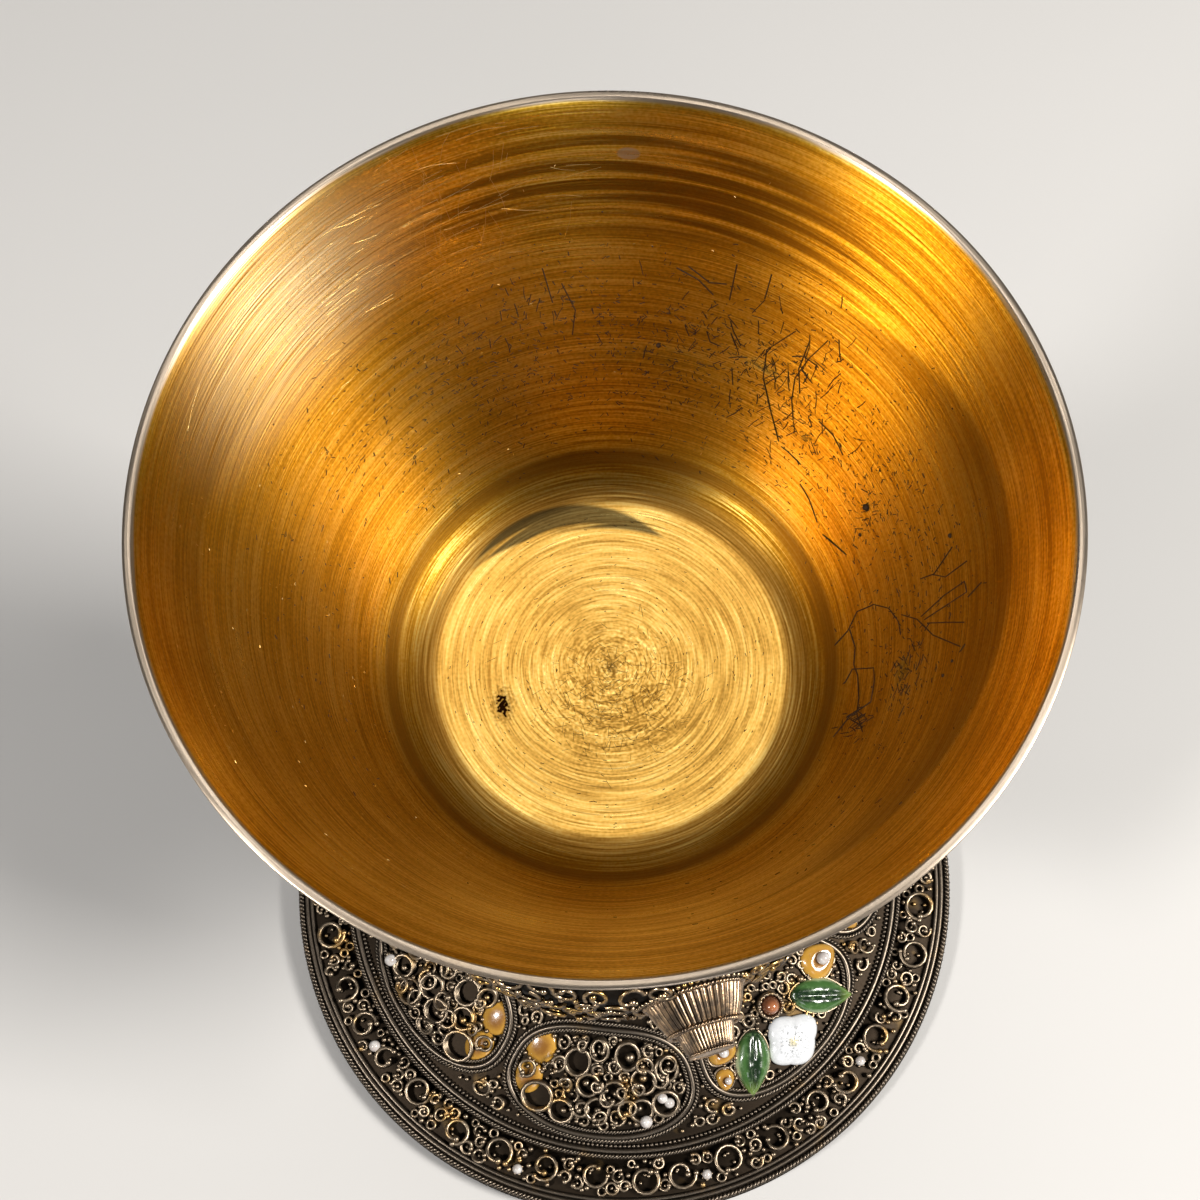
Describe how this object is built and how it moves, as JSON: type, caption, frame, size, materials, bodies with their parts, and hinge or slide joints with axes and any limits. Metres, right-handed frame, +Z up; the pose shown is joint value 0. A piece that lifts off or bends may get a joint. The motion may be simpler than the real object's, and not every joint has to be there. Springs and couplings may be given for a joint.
{
  "type": "chalice",
  "caption": "Footed chalice with a flared gilt cup, petalled calyx, flattened knop with fluted bosses, and a domed foot of filigree and enamel medallions.",
  "frame": {"origin": "centre of the foot's flat underside", "axes": "+Z up along the cup's axis, -Y towards the front medallion"},
  "size_m": [0.126, 0.126, 0.194],
  "materials": {
    "gilt_silver": "worn gilding, brushed round the bowl, scratched and pitted",
    "dark_silver": "oxidised silver, dark in the hollows and rubbed bright on the edges",
    "bright_silver": "rubbed silver with traces of gilding",
    "white_enamel": "glossy",
    "green_enamel": "glossy",
    "ochre_enamel": "glossy",
    "brown_glass": "glossy glass bead"
  },
  "bodies": {
    "root": {"foot": "dark_silver", "lower_collar": "dark_silver", "knop": "dark_silver", "upper_collar": "dark_silver", "calyx": "dark_silver", "cup": "gilt_silver", "knop_boss_1": "bright_silver", "knop_boss_2": "bright_silver", "knop_boss_3": "bright_silver", "knop_boss_4": "bright_silver", "medallion_frame_1": "bright_silver", "medallion_frame_2": "bright_silver", "medallion_frame_3": "bright_silver", "medallion_frame_4": "bright_silver", "medallion_frame_5": "bright_silver", "medallion_frame_6": "bright_silver", "medallion_frame_7": "bright_silver", "filigree_1": "bright_silver", "filigree_2": "bright_silver", "filigree_3": "bright_silver", "flower_1": "white_enamel", "leaf_left_1": "green_enamel", "leaf_right_1": "green_enamel", "shell_right_1": "ochre_enamel", "shell_left_1": "ochre_enamel", "shell_left_small_1": "ochre_enamel", "bead_1": "brown_glass", "collet_1": "bright_silver", "flower_2": "white_enamel", "leaf_left_2": "green_enamel", "leaf_right_2": "green_enamel", "shell_right_2": "ochre_enamel", "shell_left_2": "ochre_enamel", "shell_left_small_2": "ochre_enamel", "bead_2": "brown_glass", "collet_2": "bright_silver", "flower_3": "white_enamel", "leaf_left_3": "green_enamel", "leaf_right_3": "green_enamel", "shell_right_3": "ochre_enamel", "shell_left_3": "ochre_enamel", "shell_left_small_3": "ochre_enamel", "bead_3": "brown_glass", "collet_3": "bright_silver", "flower_4": "white_enamel", "leaf_left_4": "green_enamel", "leaf_right_4": "green_enamel", "shell_right_4": "ochre_enamel", "shell_left_4": "ochre_enamel", "shell_left_small_4": "ochre_enamel", "bead_4": "brown_glass", "collet_4": "bright_silver"}
  },
  "joints": []
}
